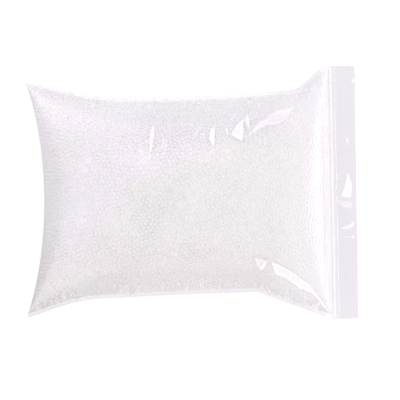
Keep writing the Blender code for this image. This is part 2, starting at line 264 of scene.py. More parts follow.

# Painted sheen: white laid on the film for its soft shine, beside its upper seam, over the ear and
# the shoulder at that seam's two ends, over the wedge and just before the closure's rib. A run goes
# from the station where it starts to the one where it is full, and rows do the same across the bag.
RIM_PAINTED_SHEEN = 0.4
RIM_PAINTED_SHEEN_REACH = 8 * MM
RIM_PAINTED_SHEEN_RUN = (0.84, 0.72)
EAR_PAINTED_SHEEN = 0.22
EAR_PAINTED_SHEEN_RUN = (0.38, 0.06)
EAR_PAINTED_SHEEN_ROWS = (-0.05, 0.55)
SHOULDER_PAINTED_SHEEN = 0.2
SHOULDER_PAINTED_SHEEN_RUN = (0.7, 0.82)
SHOULDER_PAINTED_SHEEN_ROWS = (0.3, 0.6)
WEDGE_PAINTED_SHEEN = 0.2
WEDGE_PAINTED_SHEEN_RUN = (0.82, 0.92)
CLOSURE_PAINTED_SHEEN = 0.45
CLOSURE_PAINTED_SHEEN_RUN = (0.958, 0.978)
RIB_PAINTED_SHEEN_RUN = (1.3 * MM, 0.7 * MM)

# Painted shade: the film's deeper tint over the welded edge at the upper shoulder and along the lower
# ear
SHOULDER_SHADE_RUN = (0.78, 0.84)
EAR_SHADE_RUN = (0.24, 0.12)

# The beads
BEAD_RADIUS = 1.46 * MM
BEAD_SPACING = 3.0 * MM
BEAD_PACKING = 0.95
BEAD_SIZES = (0.92, 1.024)
BEAD_GAP = 0.12 * MM
BEAD_CLEARANCE = 0.85
BEAD_SEED = 11
PACKING_ROUNDS = 24
PACKING_REACH = 1.1 * BEAD_SPACING
PACKING_PUSH = 0.3
DIMPLE = 0.17 * MM
DIMPLE_REACH = 0.55 * BEAD_SPACING

# The mass under the outer beads, which is less deep towards the closure and the seams
CORE_DEPTH = 1.62 * MM
CORE_DEPTH_AT_CLOSURE = 0.8 * MM
CORE_RUN = (0.4, 0.95)
CORE_SHARE_AT_SEAMS = 0.6
CORE_ROWS = (0.4, 0.8)
CORE_ROOM = 0.7
SHELL_COLUMNS = 100
SHELL_ROWS = 72

# The photograph's view: millimetres to a pixel at the seams' height, and its middle on the bag
PHOTO_PIXELS = 400
PIXEL = 0.6728 * MM
VIEW_CENTRE = (5.2 * MM, -5.2 * MM)
LENS = 120
SENSOR = 36

# Edges of tones and lights: the direction across one, and where along it, in millimetres from
# the middle of the bag's box, the tone starts and is full
Edge = namedtuple("Edge", "direction start full")
RIGHTWARD = (1, 0, 0)
UPWARD = (0, 1, 0)

# The studio's light: its strength overhead, how it leans towards the right near the horizon, its
# brighter upper left corner, and the floor's glow, which is white to the eye and lights little. That
# glow holds painted light and shade: brighter to the right and the top, dimmer at the lower left
SURROUND_LIGHT = 1.28
SURROUND_LEAN = (0.10, 0.0, 0.0)
CORNER_LIGHT = 0.2
CORNER = (-0.6, 0.57, 0.56)
CORNER_SPREAD = (0.6, 1.0)
FLOOR_SIZE = 4
FLOOR_COLOUR = (0.12, 0.12, 0.12, 1)
FLOOR_SEEN = 0.88
FLOOR_GLOW = 0.42
RIGHTWARD_PAINTED_GLOW = 0.40
RIGHTWARD_EDGE = Edge(RIGHTWARD, -120, -20)
UPWARD_PAINTED_GLOW = 0.1
UPWARD_EDGE = Edge(UPWARD, -60, 60)
PANEL_PLACE = (0.9, 0.06, 0.09)
PANEL_TARGET = (0, 0, 0.06)
PANEL_SIZE = (0.9, 0.18)
PANEL_POWER = 1.08

# The film's colours, seen through or as a thin veil, and the shares of its veil and its shine
CLEAR_FILM = (0.915, 0.895, 0.92, 1)
# The deep tint is the film's own on the lips and their ridges, and painted shade at the welded edges
DEEP_FILM = (0.882, 0.86, 0.89, 1)
VEIL_COLOUR = (0.80, 0.75, 0.83, 1)
# The painted sheen's white
PAINTED_SHEEN_COLOUR = (0.94, 0.905, 0.94, 1)
VEIL = 0.03
SHINE_FACING = 0.07
SHINE_AT_EDGES = 0.9

# The facets' painted highlight: its white, and the warmer one of the lower facets on the body
FACET_HIGHLIGHT_COLOUR = (0.98, 0.945, 0.985, 1)
WARM_FACET_HIGHLIGHT_COLOUR = (1.0, 0.955, 0.95, 1)
WARM_FACET_HIGHLIGHT_EDGES = (Edge(UPWARD, 10, -10), Edge(RIGHTWARD, 95, 88))

# The closure's strips: how white they are beside the rib and on it, where the white is also a painted
# highlight, and the rib's edge
STRIP_COLOUR = (0.99, 0.985, 0.99, 1)
STRIP_WHITE = 0.45
RIB_WHITE_AND_HIGHLIGHT = 0.97
RIB_EDGE = (1.4 * MM, 0.5 * MM)

# The beads' tones. The warmer one fills the middle, the lower right and the lower ear. The
# others, laid over both in turn, are painted shade.
COOL_BEADS = (0.903, 0.895, 0.903, 1)
WARM_BEADS = (0.892, 0.889, 0.863, 1)
WARM_LEFT_EDGE = Edge((0.84, -0.55, 0), -42, -30)
WARM_EAR_EDGE = Edge(UPWARD, -50, -60)
WARM_OTHER_EDGES = (Edge((0.32, -0.95, 0), -25, -13), Edge(RIGHTWARD, 80, 66))
Tone = namedtuple("Tone", "blend colour edges")
# Painted shade along the lower seam, where the slope faces away from the light
LOWER_SEAM_PAINTED_SHADE = Tone(
    blend="MIX",
    colour=(0.835, 0.815, 0.797, 1),
    edges=(Edge(UPWARD, -25, -65), Edge(RIGHTWARD, -85, -45), Edge(RIGHTWARD, 62, 40)),
)
# Painted shade over the lower ear, which faces away from the light
LOWER_EAR_PAINTED_SHADE = Tone("MIX", (0.79, 0.78, 0.75, 1), (Edge((-0.55, -0.83, 0), 66, 122),))
# Painted shade over the half towards the closure, for the shade between the beads
CLOSURE_HALF_PAINTED_SHADE = Tone("MULTIPLY", (0.952, 0.952, 0.952, 1), (Edge(RIGHTWARD, 5, 60),))
# Painted shade in a band below the upper seam
UPPER_SEAM_PAINTED_SHADE = Tone(
    blend="MULTIPLY",
    colour=(0.93, 0.93, 0.93, 1),
    edges=(Edge(UPWARD, 24, 48), Edge(RIGHTWARD, -55, -10), Edge(RIGHTWARD, 82, 60)),
)
# Painted shade over the wedge
WEDGE_PAINTED_SHADE = Tone("MULTIPLY", (0.945, 0.935, 0.95, 1), (Edge(RIGHTWARD, 66, 84),))
PAINTED_BEAD_SHADES = (LOWER_SEAM_PAINTED_SHADE, LOWER_EAR_PAINTED_SHADE, CLOSURE_HALF_PAINTED_SHADE, UPPER_SEAM_PAINTED_SHADE, WEDGE_PAINTED_SHADE)

HALF_WIDTH = FLAT_WIDTH / 2
LENS_ROW = 1 - FLANGE / HALF_WIDTH
SEAM_HEIGHT = BELLY - SAG
END_LENGTH = CLOSURE_LENGTH + LIP_LENGTH
BAG_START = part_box("bag_film")[0].x


def mix(first, second, share):
    return first + (second - first) * share


def clamp(share):
    return np.clip(share, 0.0, 1.0)


def smooth(share):
    """0 to 1 with a soft start and end."""
    t = clamp(share)
    return t * t * (3 - 2 * t)


def between(value, run):
    """0 to 1 with a soft start and end, as a value goes from a run's start to its end."""
    start, end = run
    return smooth((value - start) / (end - start))


def half_angle(chord_share):
    """The half angle of an arc whose chord is this share of its length."""
    low, high = (np.full_like(chord_share, limit) for limit in ANGLE_LIMITS)
    for _ in range(ANGLE_ROUNDS):
        middle = (low + high) / 2
        wide = np.sin(middle) / middle > chord_share
        low = np.where(wide, middle, low)
        high = np.where(wide, high, middle)
    return low


def drawn_in(seam, from_fold):
    """How far a seam is drawn in from the straight line between its ear and its mouth corner."""
    share = clamp((from_fold - seam.ear_run) / (BODY_LENGTH - seam.ear_run - seam.run))
    depth = mix(seam.shoulder, seam.hip, share) + seam.waist * np.sin(np.pi * share)
    rise = np.sin(np.pi / 2 * clamp(from_fold / seam.ear_run))
    fall = clamp((BODY_LENGTH - from_fold) / seam.run)
    return depth * rise * mix(fall, smooth(fall), seam.ease)


def seam_offset(side, from_fold):
    """A seam's distance from the bag's middle line."""
    straight = mix(EAR_SPREAD / 2 - side * EAR_SHIFT, HALF_WIDTH, from_fold / BODY_LENGTH)
    return straight - drawn_in(UPPER_SEAM if side > 0 else LOWER_SEAM, from_fold)


def length_share(station):
    return station - END_CROWDING * np.sin(2 * np.pi * station) / (2 * np.pi)


def inside_share(row):
    """How far a row lies from the middle to the edge of the filled part."""
    return np.clip(row / LENS_ROW, -1.0, 1.0)


def open_start(row):
    """The fold's place along the bag at a row."""
    inside = inside_share(row)
    return FOLD_BOW * (1 - inside**2) + FOLD_SKEW * (1 - inside)


def crush(row):
    """The share of its full thickness that the closure keeps, as the side welds flatten it."""
    return mix(CRUSHED, 1.0, smooth((1 - np.abs(row)) * HALF_WIDTH / CRUSH_RUN))


def body_places(station, row, face):
    """Places on the inner side of the body's film, smooth and without gathers."""
    share = length_share(station)
    upper = seam_offset(1, share * BODY_LENGTH)
    lower = seam_offset(-1, share * BODY_LENGTH)
    lens = (upper + lower) / 2 - FLANGE
    angle = half_angle(lens / (HALF_WIDTH - FLANGE))
    inside = inside_share(row)
    y = (upper - lower) / 2 + lens * np.sin(angle * inside) / np.sin(angle)
    y = y + (row - inside * LENS_ROW) * HALF_WIDTH
    x = mix(open_start(row), BODY_LENGTH - MOUTH_SKEW * row, share)
    half_gap = mix(SEAM_GAP, CLOSURE_GAP / 2 * crush(row), smooth(share))
    droop = EAR_DROOP * clamp(1 - x / EAR_DROOP_RUN) ** 2 * row * row
    depth = CROWN if face > 0 else BELLY
    z = SEAM_HEIGHT - droop + face * (half_gap + depth * fullness(share, row, angle))
    return np.stack([x + 0 * z, y + 0 * z, z], axis=-1)


def fullness(share, row, angle):
    """How full the body is at a place, from 0 at its edges to 1 at its crown."""
    open_length = BODY_LENGTH - open_start(row)
    from_fold = clamp(share * open_length / FOLD_RUN)
    from_mouth = clamp((1 - share) * open_length / WEDGE_RUN)
    lengthwise = (1 - (1 - from_fold) ** 2) ** FOLD_BLUNTNESS
    lengthwise = lengthwise * (1 - (1 - from_mouth) ** 2) ** WEDGE_BLUNTNESS
    crosswise = (np.cos(angle * inside_share(row)) - np.cos(angle)) / (1 - np.cos(angle))
    least = np.minimum(crosswise, lengthwise)
    crosswise = np.maximum(crosswise, NEARLY_FLAT)
    lengthwise = np.maximum(lengthwise, NEARLY_FLAT)
    full = (crosswise**-CORNER_FULLNESS + lengthwise**-CORNER_FULLNESS - 1) ** (-1 / CORNER_FULLNESS)
    return np.where(least < NEARLY_FLAT, 0.0, full)


def outward(station, row, face):
    """The outward normals of the body's film, from neighbouring places."""
    ahead = body_places(np.minimum(station + NORMAL_STEP, 1.0), row, face)
    behind = body_places(np.maximum(station - NORMAL_STEP, 0.0), row, face)
    above = body_places(station, np.minimum(row + NORMAL_STEP, 1.0), face)
    below = body_places(station, np.maximum(row - NORMAL_STEP, -1.0), face)
    normal = np.cross(ahead - behind, above - below) * face
    return normal / np.linalg.norm(normal, axis=-1, keepdims=True)


def end_places(distance, row, height):
    """Places of the closure or the lips, by distance and by height from the middle sheet."""
    past = np.maximum(distance - CLOSURE_LENGTH, 0.0)
    droop = np.where(past > 0, mix(LOWER_END_DROOP, UPPER_END_DROOP, (row + 1) / 2), 0.0)
    wave = LIP_WAVE * np.sin(LIP_HALF_WAVES * np.pi / 2 * row) * past / LIP_LENGTH
    height = height * crush(row)
    x = BODY_LENGTH - MOUTH_SKEW * row + distance - past
    x = x + past * np.cos(droop) + height * np.sin(droop)
    z = SEAM_HEIGHT + wave - past * np.sin(droop) + height * np.cos(droop)
    return np.stack([x, row * HALF_WIDTH + 0 * x, z], axis=-1)


def ridges(distance):
    """How far a lip stands on a grip ridge, from 0 between two ridges to 1 on a crest."""
    count = (distance - (END_LENGTH - RIDGES * RIDGE_PITCH)) / RIDGE_PITCH
    return np.where(count >= 0, 0.5 - 0.5 * np.cos(2 * np.pi * count), 0.0)


def lip_height(distance):
    """The film's height from the middle sheet: over the closure's strips, then over the ridges."""
    gap = mix(CLOSURE_GAP, LIP_GAP, smooth((distance - CLOSURE_LENGTH) / STEP))
    return gap / 2 + FILM + RIDGE_HEIGHT * ridges(distance)


Gather = namedtuple("Gather", "place reach height half_width slant")


def draw_gathers(kind, rng):
    """The gathers of one kind along one seam of one panel, from the fold to the closure."""
    gathers = []
    place = rng.uniform(*kind.pitch)
    while place < BODY_LENGTH:
        gathers.append(
            Gather(
                place=place,
                reach=rng.uniform(*kind.reach),
                height=rng.uniform(*kind.height),
                half_width=rng.uniform(*kind.half_width),
                slant=rng.uniform(-kind.slant, kind.slant),
            )
        )
        place += rng.uniform(*kind.pitch)
    return gathers


def gathered(gathers, x, from_seam):
    """How far the gathers of one seam lift the film."""
    lift = np.zeros(np.broadcast(x, from_seam).shape)
    for gather in gathers:
        along = clamp(1 - from_seam / gather.reach)
        aside = (x - gather.place - gather.slant * from_seam) / gather.half_width
        crest = clamp(1 - np.abs(aside)) ** GATHER_SHARPNESS
        lift = np.maximum(lift, gather.height * crest * along**GATHER_TAPER)
    return lift


def calm_ends(station):
    """The share of their full height that the gathers keep: they die out at the bag's ends."""
    return smooth(station / CALM_EAR) * smooth((1 - station) / CALM_MOUTH)


def seam_wave(rng, x):
    """A welded edge's uneven rise and fall along the bag."""
    wave = np.zeros_like(x)
    for length in SEAM_WAVE_LENGTHS:
        wave = wave + np.sin(2 * np.pi * (x / length + rng.uniform())) / 2
    return SEAM_WAVE * wave


def fold_lift(places):
    """How far the long folds lift the upper film."""
    lift = np.zeros(places.shape[:-1])
    for fold in FOLDS:
        corner = np.array([BODY_LENGTH, fold.side * HALF_WIDTH])
        inward = np.array([-1, -fold.side])
        start = corner + np.array(fold.start) * inward
        line = corner + np.array(fold.end) * inward - start
        along, aside = along_line(places, start, line)
        tent = clamp(1 - np.abs(aside) / fold.half_width)
        lift += fold.height * smooth(tent) * np.sqrt(np.sin(np.pi * clamp(along)))
    return lift


def along_line(places, start, line):
    """Places' shares along a line, and how far they lie to its left, from above."""
    length = np.hypot(*line)
    x, y = places[..., 0] - start[0], places[..., 1] - start[1]
    return (x * line[0] + y * line[1]) / length**2, (y * line[0] - x * line[1]) / length


def lens_facet(lens):
    """The facet that a lens stands for, with its two edges drawn as corners."""
    start = np.array(lens.start)
    line = np.array(lens.end) - start
    left = np.array([-line[1], line[0]]) / np.hypot(*line)
    along = np.linspace(0, 1, LENS_CORNERS)[:, None]
    bulge = np.sin(np.pi * along) ** LENS_BLUNTNESS
    half_width = lens.half_width * np.maximum(bulge, lens.base * (1 - along))
    middle = start + line * along
    crisp = middle + left * lens.edge * half_width
    soft = middle - left * lens.edge * half_width
    return Facet(crisp, soft, lens.glint)


def edge_places(corners, share):
    """Places along a facet's edge, by their share of its length."""
    corners = np.array(corners) * MM
    lengths = np.hypot(*np.diff(corners, axis=0).T)
    run = np.concatenate([[0.0], np.cumsum(lengths)]) / lengths.sum()
    return np.stack([np.interp(share, run, corners[:, axis]) for axis in (0, 1)], axis=-1)


def facet_places(facet, along, across):
    """Places on a facet from above, by shares along it and across it from its soft edge."""
    crisp = edge_places(facet.crisp, along)
    return mix(edge_places(facet.soft, along), crisp, across)


def taut_share(places):
    """How taut the facets hold the film, from 0 where it sinks between the beads to 1."""
    columns = np.linspace(0, 1, FACET_COLUMNS)
    rows = np.linspace(0, 1, FACET_ROWS)
    along, across = np.meshgrid(columns, rows, indexing="ij")
    taut = []
    for facet in body_facets():
        spread = facet_places(facet, along, across[..., None])
        taut += [Vector((x, y, 0)) for x, y in spread.reshape(-1, 2)]
    tree = point_tree(taut)
    flat = places.reshape(-1, 3)
    beyond = np.array([tree.find((x, y, 0))[2] for x, y, _ in flat])
    return between(beyond, TAUT_RUN).reshape(places.shape[:-1])


def body_facets():
    """The measured facets of the filled body."""
    patches = (CRESCENT, TALL_PATCH, SLIM_PATCH, LONG_PATCH, TRIANGLE, CORNER_BAND)
    return [*patches, *map(lens_facet, LENSES)]


def lip_crumples():
    """The measured crumples of the lips, as facets with painted highlights."""
    return [LIP_TRIANGLE, LIP_PANE, LIP_BAND, *map(lens_facet, LIP_LENSES)]


def draw_streaks(kind):
    """The streaks of one kind beside one seam, as facets."""
    rng = np.random.default_rng(kind.seed)
    streaks = []
    for _ in range(kind.count):
        from_fold = rng.uniform(*STREAK_RUN) * BODY_LENGTH
        seam = kind.side * (seam_offset(kind.side, from_fold) / MM)
        inner = seam - kind.side * rng.uniform(*kind.reach)
        turn = rng.uniform(-kind.turn, kind.turn)
        length = rng.uniform(*kind.length)
        start = np.array([(from_fold + BAG_START) / MM, inner])
        reach = length * np.array([math.sin(turn), -kind.side * math.cos(turn)])
        half_width = rng.uniform(*kind.half_width)
        edge = rng.choice([-1, 1])
        glint = rng.uniform(*kind.glint)
        streaks.append(lens_facet(Lens(start, start + reach, half_width, edge, glint, kind.base)))
    return streaks


def add_facet(bm, layer, facet, columns, rows, film):
    """One facet as a fine patch that lies a hair above the film, with its painted highlight on its
    vertices.
    """
    made = bmesh.ops.create_grid(bm, x_segments=columns, y_segments=rows, size=0.5)["verts"]
    for vertex in made:
        along = vertex.co.x + 0.5
        across = vertex.co.y + 0.5
        x, y = facet_places(facet, along, across)
        surface, normal, _, _ = film.ray_cast((x, y, 1), (0, 0, -1))
        if surface is None:
            surface, normal, _, _ = film.find_nearest((x, y, SEAM_HEIGHT))
        # The painted highlight: none at the soft edge, fading in beside it, fullest along the crisp
        # edge
        border = smooth(across / FACET_BORDER)
        shine = mix(SOFT_SIDE_HIGHLIGHT, 1.0, between(across, (1 - CRISP_BAND, 1)))
        vertex[layer] = facet.glint * border * shine
        vertex.co = surface + normal * FACET_RISE


def build_facets(material, film):
    """The facets, the lips' crumples and the streaks beside the seams, on the upper film, with painted
    highlights.
    """
    bm = bmesh.new()
    layer = bm.verts.layers.float.new("glint")
    for facet in body_facets() + lip_crumples():
        add_facet(bm, layer, facet, FACET_COLUMNS, FACET_ROWS, film)
    for kind in STREAKS:
        for streak in draw_streaks(kind):
            add_facet(bm, layer, streak, STREAK_COLUMNS, STREAK_ROWS, film)
    add_piece("film_painted_highlights", bm, material, "film", "bag_film")


def sheet_places(station, row):
    """Places of the sheet midway between the panels, where they are welded and folded."""
    return (body_places(station, row, 1) + body_places(station, row, -1)) / 2


def from_weld(row):
    """How far inwards of the nearer seam's weld a row lies on the filled film."""
    return np.maximum(LENS_ROW - np.abs(row), 0.0) * HALF_WIDTH


def gather_lift(x, row, rng):
    """How far the gathers of both seams lift one panel of the film."""
    lift = np.zeros_like(x)
    for kind in (FINE_GATHERS, BROAD_GATHERS):
        for side in (1, -1):
            height = gathered(draw_gathers(kind, rng), x, from_weld(row))
            lift = np.maximum(lift, height * (row * side > 0))
    return lift


def film_body(station, row, face, rng, beads):
    """Places on the body's film, with its gathers, folds and dimples."""
    smooth_film = body_places(station, row, face)
    filled = 1 - clamp((np.abs(row) - LENS_ROW) / (1 - LENS_ROW))
    calm = calm_ends(station) * filled
    lift = gather_lift(smooth_film[..., 0], row, rng) * calm
    slack = filled * clamp(1 - lift / TAUT_LIFT)
    if face > 0:
        lift = np.maximum(lift, fold_lift(smooth_film))
        slack = slack * (1 - taut_share(on_bag(smooth_film)))
    lift -= dimples(on_bag(smooth_film), beads) * slack
    places = smooth_film + outward(station, row, face) * (FILM + lift)[..., None]
    joined = np.minimum(station * BODY_LENGTH, (1 - np.abs(row)) * HALF_WIDTH) / WELD_RUN
    sheet = sheet_places(station, row)
    places = mix(sheet, places, smooth(joined)[..., None])
    return bend_welds(places, sheet[..., 0], station, row)


def bend_welds(places, x, station, row):
    """Makes the upper seam's weld droop and both seams wave, where x is the sheet's own."""
    calm = calm_ends(station)
    in_flange = np.maximum(row - LENS_ROW, 0.0) * HALF_WIDTH * calm
    places[..., 1] -= in_flange * (1 - math.cos(FLANGE_DROOP))
    places[..., 2] -= in_flange * math.sin(FLANGE_DROOP)
    rng = np.random.default_rng(GATHER_SEED)
    waves = [seam_wave(rng, x) for _ in range(2)]
    near_weld = clamp(1 - from_weld(row) / SEAM_WAVE_REACH)
    places[..., 2] += np.where(row > 0, *waves) * near_weld**2 * calm
    places[..., 2] = np.maximum(places[..., 2], 0.0)
    return places


def dimples(places, beads):
    """How far the film sinks between the beads that it is drawn over."""
    nearest = [beads.find(place)[2] for place in places.reshape(-1, 3)]
    over = BEAD_RADIUS + BEAD_GAP
    aside = np.sqrt(np.maximum(np.array(nearest) ** 2 - over**2, 0.0))
    return DIMPLE * smooth(aside / DIMPLE_REACH).reshape(places.shape[:-1])


def film_lips(distance, row, face):
    """Places on the film over the closure and the lips."""
    places = end_places(distance, row, face * lip_height(distance))
    sheet = end_places(distance, row, 0.0 * distance)
    joined = smooth((1 - np.abs(row)) * HALF_WIDTH / WELD_RUN)
    return mix(sheet, places, joined[..., None])


def on_bag(places):
    """Moves places from the bag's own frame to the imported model's."""
    return places + np.array([BAG_START, 0.0, 0.0])


def marked_grid(bm, places, **marks):
    """A grid whose vertices are moved to their places and marked. Returns its rim's edges."""
    columns, rows = places.shape[:2]
    layers = {name: bm.verts.layers.float.new(name) for name in marks}
    made = bmesh.ops.create_grid(bm, x_segments=columns - 1, y_segments=rows - 1, size=0.5)["verts"]
    for vertex in made:
        column = round((vertex.co.x + 0.5) * (columns - 1))
        row = round((vertex.co.y + 0.5) * (rows - 1))
        vertex.co = places[column, row]
        for name, layer in layers.items():
            vertex[layer] = marks[name][column, row]
    return [edge for edge in bm.edges if edge.is_boundary]


def add_piece(name, bm, material, slot, *nodes):
    """A finished piece that rides on the bag and stands for these nodes of the model."""
    mesh = bpy.data.meshes.new(name)
    bm.to_mesh(mesh)
    bm.free()
    mesh.shade_smooth()
    mesh.materials.append(material)
    piece = bpy.data.objects.new(name, mesh)
    bpy.context.scene.collection.objects.link(piece)
    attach(piece, "root")
    if nodes:
        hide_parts(*nodes)
    return piece


def film_rows():
    """Rows across the film, closer together at the steep sides, with the flanges' own."""
    even = np.pi / 2 * SIDE_CROWDING * np.linspace(-1, 1, FILM_ROWS)
    inner = LENS_ROW * np.sin(even) / math.sin(np.pi / 2 * SIDE_CROWDING)
    flange = np.linspace(LENS_ROW, 1, FLANGE_ROWS + 1)[1:]
    return np.concatenate([-flange[::-1], inner, flange])


def haze(station, row):
    """How far the painted sheen, white laid on the film for its soft shine, hides the beads at a
    place.
    """
    from_seam = (LENS_ROW - row) * HALF_WIDTH
    rim = RIM_PAINTED_SHEEN * smooth(1 - from_seam / RIM_PAINTED_SHEEN_REACH) * between(station, RIM_PAINTED_SHEEN_RUN)
    ear = EAR_PAINTED_SHEEN * between(station, EAR_PAINTED_SHEEN_RUN) * between(row, EAR_PAINTED_SHEEN_ROWS)
    shoulder = between(station, SHOULDER_PAINTED_SHEEN_RUN) * between(row, SHOULDER_PAINTED_SHEEN_ROWS)
    shoulder = SHOULDER_PAINTED_SHEEN * shoulder
    wedge = WEDGE_PAINTED_SHEEN * between(station, WEDGE_PAINTED_SHEEN_RUN)
    beside_closure = CLOSURE_PAINTED_SHEEN * between(station, CLOSURE_PAINTED_SHEEN_RUN)
    return np.maximum.reduce(np.broadcast_arrays(rim, ear, shoulder, wedge, beside_closure))


def painted_edge_shade(station, row):
    """How deep the painted shade on the welded edge is, at the upper shoulder and the lower ear."""
    edge = between(np.abs(row), (LENS_ROW, (LENS_ROW + 1) / 2))
    shoulder = between(station, SHOULDER_SHADE_RUN) * (row > 0)
    ear = between(station, EAR_SHADE_RUN) * (row < 0)
    return edge * np.maximum(shoulder, ear)


def build_film(material, centres):
    """The two panels of the film, which meet at the fold and the welds. Returns the upper one."""
    row = film_rows()[None, :]
    station = np.linspace(0, 1, BODY_COLUMNS)[:, None]
    distance = np.linspace(0, END_LENGTH, LIP_COLUMNS)[1:, None]
    beads = point_tree(centres)
    rng = np.random.default_rng(GATHER_SEED)
    trees = []
    for name, face in (("bag_film_upper", 1), ("bag_film_lower", -1)):
        body = film_body(station, row, face, rng, beads)
        lips = film_lips(distance, row, face)
        thick = mix(LIP_TINT, 1.0, ridges(distance) ** 2) * (distance > CLOSURE_LENGTH) + 0 * row
        # On the body the deep tint is painted shade at the welded edges; on the lips it is the film's
        # own
        thick = np.concatenate([painted_edge_shade(station, row), thick])
        # Painted sheen on the upper film, and on the lips just before the rib
        before_rib = CLOSURE_PAINTED_SHEEN * between(distance, RIB_PAINTED_SHEEN_RUN) + 0 * row
        painted_sheen_share = np.concatenate([haze(station, row), before_rib]) * (face > 0)
        bm = bmesh.new()
        marked_grid(bm, on_bag(np.concatenate([body, lips])), thick=thick, haze=painted_sheen_share)
        if face < 0:
            bmesh.ops.reverse_faces(bm, faces=bm.faces)
        trees.append(BVHTree.FromBMesh(bm))
        add_piece(name, bm, material, "film", "bag_film")
    return trees[0]


def point_tree(points):
    """A tree that finds the nearest of these points."""
    tree = KDTree(len(points))
    for number, point in enumerate(points):
        tree.insert(point, number)
    tree.balance()
    return tree


def shell(depth_at_fold, depth_at_closure):
    """A closed mesh of the filled body, this deep under the film."""
    stations = np.linspace(0, 1, SHELL_COLUMNS)[:, None]
    rows = np.linspace(-LENS_ROW, LENS_ROW, SHELL_ROWS)[None, :]
    depth = mix(depth_at_fold, depth_at_closure, between(stations, CORE_RUN))
    depth = depth * mix(1.0, CORE_SHARE_AT_SEAMS, between(np.abs(rows), CORE_ROWS))
    bm = bmesh.new()
    middle = sheet_places(stations, rows)
    for face in (1, -1):
        places = body_places(stations, rows, face)
        room = np.abs(places[..., 2] - middle[..., 2])
        inset = np.minimum(depth, CORE_ROOM * room)
        places = places - outward(stations, rows, face) * inset[..., None]
        places[..., 2] = np.maximum(places[..., 2], FILM + depth)
        rims = marked_grid(bm, on_bag(places))
    bmesh.ops.bridge_loops(bm, edges=rims)
    bmesh.ops.recalc_face_normals(bm, faces=bm.faces)
    return bm


def scatter(bm, count, rng):
    """Random places spread evenly over a mesh's area."""
    faces = list(bm.faces)
    areas = np.array([face.calc_area() for face in faces])
    picked = rng.choice(len(faces), size=count, p=areas / areas.sum())
    places = []
    for number, (across, along) in zip(picked, rng.uniform(size=(count, 2))):
        corners = [vertex.co for vertex in faces[number].verts]
        first = corners[0].lerp(corners[1], across)
        second = corners[-1].lerp(corners[-2], across)
        places.append(first.lerp(second, along))
    return places


def packed_beads():
    """Bead centres that lie against the film and a bead's width from each other."""
    rng = np.random.default_rng(BEAD_SEED)
    bm = shell(0.0, 0.0)
    film = BVHTree.FromBMesh(bm)
    area = sum(face.calc_area() for face in bm.faces)
    count = int(area * BEAD_PACKING / (BEAD_SPACING**2 * math.sqrt(3) / 2))
    centres = scatter(bm, count, rng)
    bm.free()
    for _ in range(PACKING_ROUNDS):
        neighbours = point_tree(centres)
        moved = []
        for centre in centres:
            push = Vector()
            for other, _, distance in neighbours.find_range(centre, PACKING_REACH):
                if distance > 0:
                    push += (centre - other) * ((PACKING_REACH - distance) / distance)
            surface, normal, _, _ = film.find_nearest(centre + push * PACKING_PUSH)
            moved.append(surface - normal * (BEAD_RADIUS + BEAD_GAP))
        centres = moved
    return [centre for centre in centres if is_inside(centre, film)]


def is_inside(centre, film):
    """Whether a bead here is clear of the film on every side."""
    surface, normal, _, distance = film.find_nearest(centre)
    return (centre - surface).dot(normal) < 0 and distance > BEAD_CLEARANCE * BEAD_RADIUS


def bead_template():
    """One bead: a cube whose faces are cut in four and rounded to a ball."""
    bm = bmesh.new()
    bmesh.ops.create_cube(bm, size=1)
    bmesh.ops.subdivide_edges(bm, edges=bm.edges, cuts=1, use_grid_fill=True)
    for vertex in bm.verts:
        vertex.co.normalize()
    mesh = bpy.data.meshes.new("bead")
    bm.to_mesh(mesh)
    bm.free()
    return mesh


def build_beads(material, centres):
    """The outer layer of beads, in an upper and a lower piece, and the mass under them."""
    template = bead_template()
    rng = np.random.default_rng(BEAD_SEED)
    for name, side in (("beads_upper", 1), ("beads_lower", -1)):
        bm = bmesh.new()
        for centre in centres:
            if (centre.z - SEAM_HEIGHT) * side <= 0:
                continue
            radius = BEAD_RADIUS * rng.uniform(*BEAD_SIZES)
            turn = Vector(rng.normal(size=3)).to_track_quat("Z", "Y").to_matrix().to_4x4()
            place = Matrix.Translation(centre) @ turn @ Matrix.Scale(radius, 4)
            template.transform(place)
            bm.from_mesh(template)
            template.transform(place.inverted())
        add_piece(name, bm, material, "beads", "bead_fill")
    core = shell(CORE_DEPTH, CORE_DEPTH_AT_CLOSURE)
    add_piece("beads_core", core, material, "beads", "bead_fill")


class Socket:
    """A shader socket in a node tree, with arithmetic that adds Math nodes."""

    def __init__(self, tree, socket):
        self.tree = tree
        self.socket = socket

    def math(self, operation, *values):
        return self.tree.add("ShaderNodeMath", {"operation": operation}, dict(enumerate(values)))

    def size(self):
        return self.math("ABSOLUTE", self)

    def larger(self, other):
        return self.math("MAXIMUM", self, other)

    def __add__(self, other):
        return self.math("ADD", self, other)

    def __radd__(self, other):
        return self.math("ADD", other, self)

    def __sub__(self, other):
        return self.math("SUBTRACT", self, other)

    def __rsub__(self, other):
        return self.math("SUBTRACT", other, self)

    def __mul__(self, other):
        return self.math("MULTIPLY", self, other)

    def __rmul__(self, other):
        return self.math("MULTIPLY", other, self)

    def __pow__(self, other):
        return self.math("POWER", self, other)


class Tree:
    """A material's or the world's node tree."""

    def __init__(self, owner):
        owner.use_nodes = True
        self.nodes = owner.node_tree.nodes
        self.links = owner.node_tree.links
        self.nodes.clear()

    def add(self, kind, settings=None, inputs=None, output=0):
        """A node of this kind with its settings and the values or links of its sockets."""
        node = self.nodes.new(kind)
        for name, value in (settings or {}).items():
            setattr(node, name, value)
        for name, value in (inputs or {}).items():
            if isinstance(value, Socket):
                self.links.new(value.socket, node.inputs[name])
            else:
                node.inputs[name].default_value = value
        return Socket(self, node.outputs[output]) if node.outputs else None

    def smoothstep(self, value, low, high):
        """0 to 1 with a soft start and end, as the value goes from low to high."""
        settings = {"interpolation_type": "SMOOTHSTEP"}
        return self.add("ShaderNodeMapRange", settings, {0: value, 1: low, 2: high})


